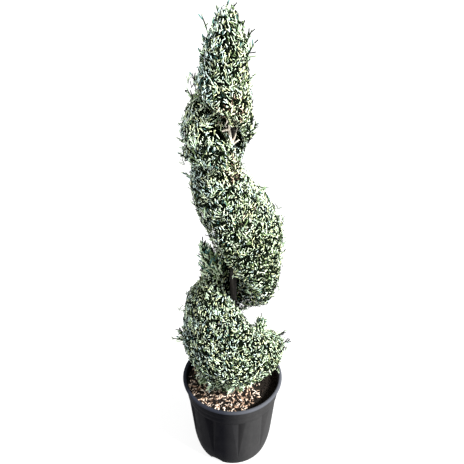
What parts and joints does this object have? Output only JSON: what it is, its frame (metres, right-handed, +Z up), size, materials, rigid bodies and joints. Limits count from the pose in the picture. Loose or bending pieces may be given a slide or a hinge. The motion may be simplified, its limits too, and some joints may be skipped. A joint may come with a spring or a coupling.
{
  "type": "spiral topiary juniper",
  "caption": "Juniper clipped into a rising spiral round one straight trunk, growing in a fluted round nursery container with a rolled rim.",
  "frame": {"origin": "middle of the flat underside of the pot", "axes": "+Z up along the trunk, -Y towards the front view, +X to its right"},
  "size_m": [0.3761, 0.32, 1.391],
  "materials": {
    "pot": "satin black moulded plastic, dusty, with a soft highlight on the rim",
    "soil": "dark peat with tan and brown bark chips on top",
    "bark": "grey-brown fibrous bark",
    "foliage": "glaucous blue-green scale leaves in fine curving sprays, opaque"
  },
  "bodies": {
    "root": {"pot": "pot", "soil": "soil", "trunk": "bark", "bough_01": "bark", "bough_02": "bark", "bough_03": "bark", "bough_04": "bark", "bough_05": "bark", "bough_06": "bark", "bough_07": "bark", "bough_08": "bark", "bough_09": "bark", "bough_10": "bark", "bough_11": "bark", "bough_12": "bark", "bough_13": "bark", "bough_14": "bark", "foliage_01": "foliage", "foliage_02": "foliage", "foliage_03": "foliage", "foliage_04": "foliage", "foliage_05": "foliage", "foliage_06": "foliage", "foliage_07": "foliage", "foliage_08": "foliage", "foliage_09": "foliage", "foliage_10": "foliage", "foliage_11": "foliage", "foliage_12": "foliage", "foliage_13": "foliage", "foliage_14": "foliage", "leader": "foliage"}
  },
  "joints": []
}
